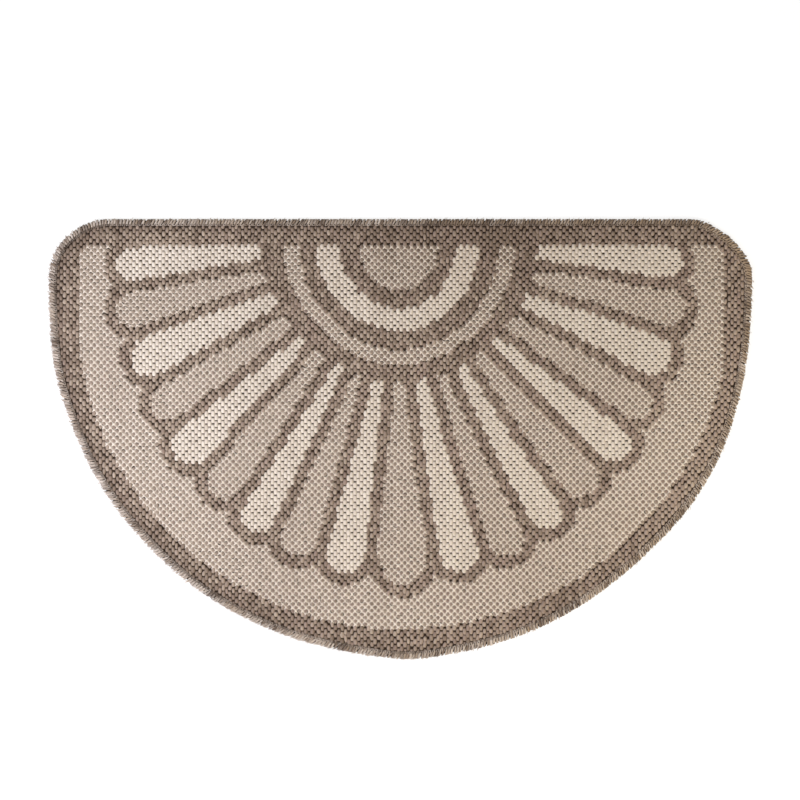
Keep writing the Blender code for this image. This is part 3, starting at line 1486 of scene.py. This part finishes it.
@dataclass
class OvercastEdge:
    """The thread sewn over the cut: strands, a filling darkened as painted shade between them, needle
    loops and loose fibres.
    """

    rim: Rim
    stitches: int = 455
    strands: int = 630
    reach: float = 0.0095
    length: float = 1.020
    right_shorter: float = 0.015
    straight_from: float = 0.985
    straight_reach: float = 0.92
    straight_shorter: float = 0.025
    slant: float = 0.42
    tone: float = 0.58
    seed: int = 19
    sewing: Sewing = Sewing()
    tint: EdgeTint = EdgeTint()
    strand_width: float = 1.8
    strand_inner: float = 0.0034
    strand_thread: ThreadPath = ThreadPath(0.00135)
    fill_width: float = 1.9
    fill_inner: float = 0.0008
    fill_thread: ThreadPath = ThreadPath(0.00150, top=0.00385, low=0.00080)
    loops: NeedleLoops = NeedleLoops()
    fraying: Fraying = Fraying()
    leans: np.ndarray = field(default_factory=lambda: np.zeros(0))
    pieces: list[bpy.types.Object] = field(default_factory=list)

    def _spots(self, count: int, tones: np.ndarray, rng: np.random.Generator,
               shift: float = 0.5) -> Spots:
        """Places on the stitch line with uneven reach, slant and colour.

        Args:
            count: How many round the whole rim.
            tones: The tone at each stitch.
            rng: The source of unevenness.
            shift: Where the first one lies, in steps.

        Returns:
            The spots.
        """
        sewing, tint = self.sewing, self.tint
        rim_places, out = self.rim.stations(count, shift)
        straight = out[:, 1] > self.straight_from
        reach = np.where(straight, self.straight_reach, 1.0)
        places, sizes = np.zeros((count, 3)), np.ones((count, 3))
        places[:, :2] = rim_places - out * self.reach * reach[:, None]
        turns = np.arctan2(out[:, 1], out[:, 0]) - math.pi / 2
        sizes[:, 0] = rng.normal(1.0, sewing.width, count)
        spread = np.where(straight, sewing.straight_length, 1.0)
        lengths = self.length + rng.normal(0.0, sewing.length, count) * spread
        sizes[:, 1] = (lengths - self.right_shorter * out[:, 0] - self.straight_shorter * straight) * reach
        sizes[:, 2] = rng.normal(1.0, sewing.height, count)
        stitch = (np.arange(count) * self.stitches / count).astype(int)
        leans = self.leans[stitch] + rng.normal(0.0, sewing.lean, count)
        # The edge tint adds painted light and shade, and painted warm light
        tone = tones[stitch] + rng.normal(0.0, sewing.tone, count) + tint.tones(rim_places, out)
        hues = np.clip(rng.normal(sewing.hue, sewing.hue_spread, count), 0.0, 1.0)
        hues += tint.hues(rim_places, out)
        # Painted shade is stronger on strands that face left and weaker on those that face right
        shades = np.clip(1.0 - out[:, 0], tint.least_shade, tint.most_shade)
        return Spots(places, sizes, turns, leans, tone, hues, shades)

    def _drift(self, rng: np.random.Generator, span: int, evenness: float) -> np.ndarray:
        """A value for each stitch that changes slowly from one to the next.

        Args:
            rng: The source of unevenness.
            span: How many stitches it takes to change.
            evenness: How much flatter it is made.

        Returns:
            The values, about 0 on average.
        """
        loose = rng.normal(0.0, 1.0, self.stitches + span - 1)
        return np.convolve(loose, np.hanning(span) / evenness, mode="valid")

    def build(self, thread: bpy.types.Material, filling: bpy.types.Material) -> list[bpy.types.Object]:
        """Sew the edge.

        Args:
            thread: The strands and loops.
            filling: The thread between, darker as painted shade.

        Returns:
            The pieces.
        """
        rng, sewing = np.random.default_rng(self.seed), self.sewing
        tones = self.tone + sewing.tone_drift * self._drift(rng, span=5, evenness=1.7)
        tones += rng.normal(0.0, sewing.stitch_tone, self.stitches)
        drift = self._drift(rng, span=13, evenness=2.4)
        self.leans = self.slant + sewing.lean_drift * drift
        joiner = Joiner()
        strand = self.strand_thread.model(self.strand_thread.leg(self.strand_inner), sides=6)
        strands = self._spots(self.strands, tones, rng)
        strands.sizes[:, 0] *= self.strand_width
        over = joiner.join("edge_strands", strand, strands, thread)
        filler = self.fill_thread.model(self.fill_thread.leg(self.fill_inner), sides=6)
        fills = self._spots(self.stitches, tones, rng, shift=0.0)
        fills.sizes[:, 0] *= self.fill_width
        between = joiner.join("edge_filling", filler, fills, filling)
        holes = self._spots(self.stitches, tones * self.loops.contrast + self.loops.tone, rng)
        self.loops.vary(holes, drift)
        loops = joiner.join("edge_loops", self.loops.model(), holes, thread)
        fibres = self._spots(self.fraying.per_stitch * self.stitches, tones + self.fraying.highlight_lift, rng)
        frayed = self.fraying.thin(fibres, rng)
        loose = joiner.join("edge_wisps", self.fraying.model(), frayed, thread)
        self.pieces = [finish_piece(piece) for piece in (over, between, loops, loose)]
        return self.pieces


@dataclass(frozen=True)
class Lamp:
    """A soft square light that points at the mat, its power in watts."""

    name: str
    place: tuple[float, float, float]
    power: float
    colour: tuple[float, float, float]
    side: float = 0.7

    def hang(self) -> None:
        """Add the lamp and turn it to the middle of the mat."""
        bpy.ops.object.light_add(type="AREA", location=self.place)
        lamp = bpy.context.object
        lamp.name = self.name
        x, y, z = self.place
        lamp.rotation_euler = (0.0, math.acos(z / math.hypot(x, y, z)), math.atan2(y, x))
        lamp.data.size = self.side
        lamp.data.energy = self.power
        lamp.data.color = self.colour


@dataclass(frozen=True)
class Studio:
    """A white table, a soft light at each side and a camera straight above the mat."""

    floor_half: float = 4.0
    floor_thickness: float = 0.02
    floor_gap: float = 0.0001
    camera_height: float = 3.03
    camera_y: float = 0.0444
    lens: float = 120.0
    sensor: float = 36.0
    sky: Colour = (1.0, 0.955, 0.88, 1.0)
    sky_strength: float = 0.32
    lamps: tuple[Lamp, ...] = (
        Lamp("left", (-0.86, -0.24, 0.68), 13.0, (0.87, 0.885, 1.0)),
        Lamp("right", (0.88, -0.60, 0.68), 9.6, (1.0, 0.90, 0.72)),
    )

    def build(self) -> None:
        """Set up the studio."""
        deselect_objects()
        self._floor()
        self._camera()
        for lamp in self.lamps:
            lamp.hang()
        world = bpy.data.worlds.new("studio")
        world.use_nodes = True
        background = world.node_tree.nodes["Background"]
        background.inputs["Color"].default_value = self.sky
        background.inputs["Strength"].default_value = self.sky_strength
        bpy.context.scene.world = world
        bpy.context.scene.view_settings.view_transform = "Standard"

    def _floor(self) -> None:
        """Lay the table, a shallow slab whose top the mat rests on."""
        bpy.ops.mesh.primitive_plane_add(size=2 * self.floor_half, location=(0.0, 0.0, 0.0))
        floor = bpy.context.object
        floor.name = FLOOR
        start_editing()
        down = (0.0, 0.0, -self.floor_thickness)
        bpy.ops.mesh.extrude_region_move(TRANSFORM_OT_translate={"value": down})
        bpy.ops.mesh.select_all(action="SELECT")
        bpy.ops.mesh.normals_make_consistent(inside=False)
        bpy.ops.transform.translate(value=(0.0, 0.0, -self.floor_gap))
        stop_editing()
        floor.data.materials.append(FloorFinish().make())

    def _camera(self) -> None:
        """Hang the camera over the mat, looking straight down."""
        bpy.ops.object.camera_add(location=(0.0, self.camera_y, self.camera_height))
        camera = bpy.context.object
        camera.rotation_euler = (0.0, 0.0, 0.0)
        camera.data.lens = self.lens
        camera.data.sensor_width = self.sensor
        bpy.context.scene.camera = camera


# The root colour of each yarn is the colour of its painted shade
CREAM_YARN = YarnFinish(
    name="cream yarn",
    pale=(0.80, 0.72, 0.63, 1.0),
    deep=(0.60, 0.515, 0.43, 1.0),
    warm=(0.74, 0.65, 0.545, 1.0),
    root=(0.13, 0.085, 0.055, 1.0),
)
TAUPE_YARN = YarnFinish(
    name="taupe yarn",
    pale=(0.485, 0.390, 0.309, 1.0),
    deep=(0.233, 0.173, 0.131, 1.0),
    warm=(0.38, 0.284, 0.235, 1.0),
    root=(0.030, 0.017, 0.011, 1.0),
    mottle=0.8,
)
EDGE_THREAD = YarnFinish(
    name="edge thread",
    pale=(0.64, 0.56, 0.49, 1.0),
    deep=(0.15, 0.11, 0.085, 1.0),
    warm=(0.42, 0.315, 0.222, 1.0),
    root=(0.05, 0.03, 0.02, 1.0),
    grain=(1600.0, 1600.0, 1600.0),
)
# Darker than the edge thread: painted shade between the strands
EDGE_FILLING = YarnFinish(
    name="edge filling thread",
    pale=(0.40, 0.325, 0.27, 1.0),
    deep=(0.10, 0.072, 0.055, 1.0),
    warm=(0.20, 0.15, 0.12, 1.0),
    root=(0.03, 0.02, 0.013, 1.0),
    grain=(1600.0, 1600.0, 1600.0),
)
# Near-black: painted shade in the gaps between the floats
PAINTED_SHADE_GROUND = GroundFinish(
    name="ground weave",
    dark=(0.012, 0.007, 0.004, 1.0),
    light=(0.050, 0.030, 0.019, 1.0),
    pitch=(0.00375, 0.00386),
)
MAT_BACK = GroundFinish(
    name="woven back",
    dark=(0.17, 0.13, 0.10, 1.0),
    light=(0.50, 0.43, 0.36, 1.0),
    pitch=(0.0075, 0.00386),
)


def main() -> None:
    """Build the studio and the mat, piece by piece."""
    logging.basicConfig(level=logging.INFO, format="%(name)s: %(message)s")
    Studio().build()
    rim = Rim.read(frame["nodes"]["edge_binding"])
    LOG.info("rim: %d points, %.4f square metres", len(rim.line), rim.area)
    ground = GroundCloth(rim)
    cloth = ground.build(PAINTED_SHADE_GROUND.make(), MAT_BACK.make())
    floats = Weave(rim, Sunburst(), ground).build(CREAM_YARN.make(), TAUPE_YARN.make())
    threads = OvercastEdge(rim).build(EDGE_THREAD.make(), EDGE_FILLING.make())
    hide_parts("woven_mat")
    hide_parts("edge_binding")
    floats + threads


if __name__ == "__main__":
    main()
